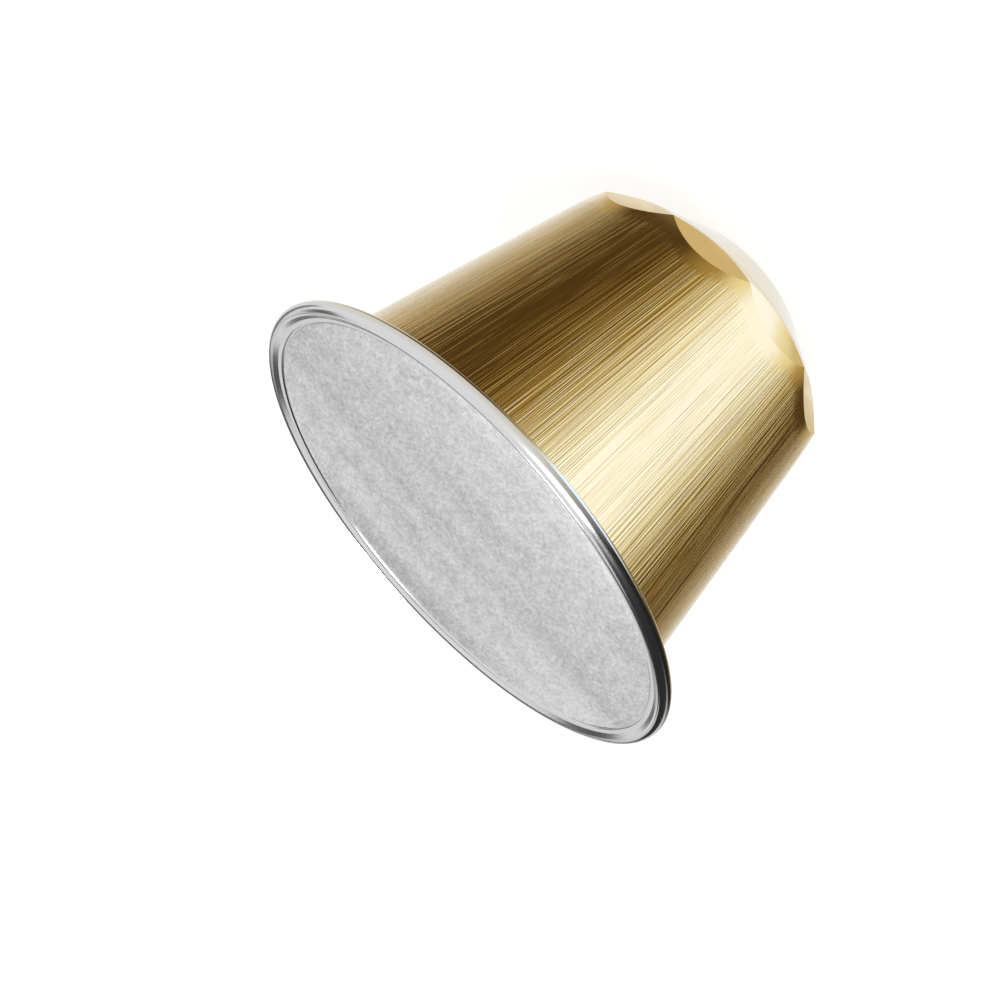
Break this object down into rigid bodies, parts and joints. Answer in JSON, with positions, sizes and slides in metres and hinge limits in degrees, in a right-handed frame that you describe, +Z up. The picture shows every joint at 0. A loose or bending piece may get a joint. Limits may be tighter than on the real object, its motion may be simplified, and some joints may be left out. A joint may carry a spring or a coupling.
{
  "type": "coffee pod",
  "caption": "Sealed single-serve aluminium coffee pod: tapered brushed gold cup with a scalloped shoulder and domed end, rolled silver rim and matte foil lid",
  "frame": {"origin": "middle of the flat foot at the pressed end of the pod, which stands on that end", "axes": "+Z up along the pod's own axis from the pressed end to the lid; -Y points at a corner between two scallops; +X completes the frame"},
  "size_m": [0.037, 0.037, 0.0265],
  "materials": {
    "cup": "gold lacquer over brushed aluminium, bare silver rolled rim",
    "lid_foil": "matte embossed foil",
    "seal_ring": "matte soft silicone"
  },
  "bodies": {
    "root": {"cup": "cup", "lid_foil": "lid_foil", "seal_ring": "seal_ring"}
  },
  "joints": []
}
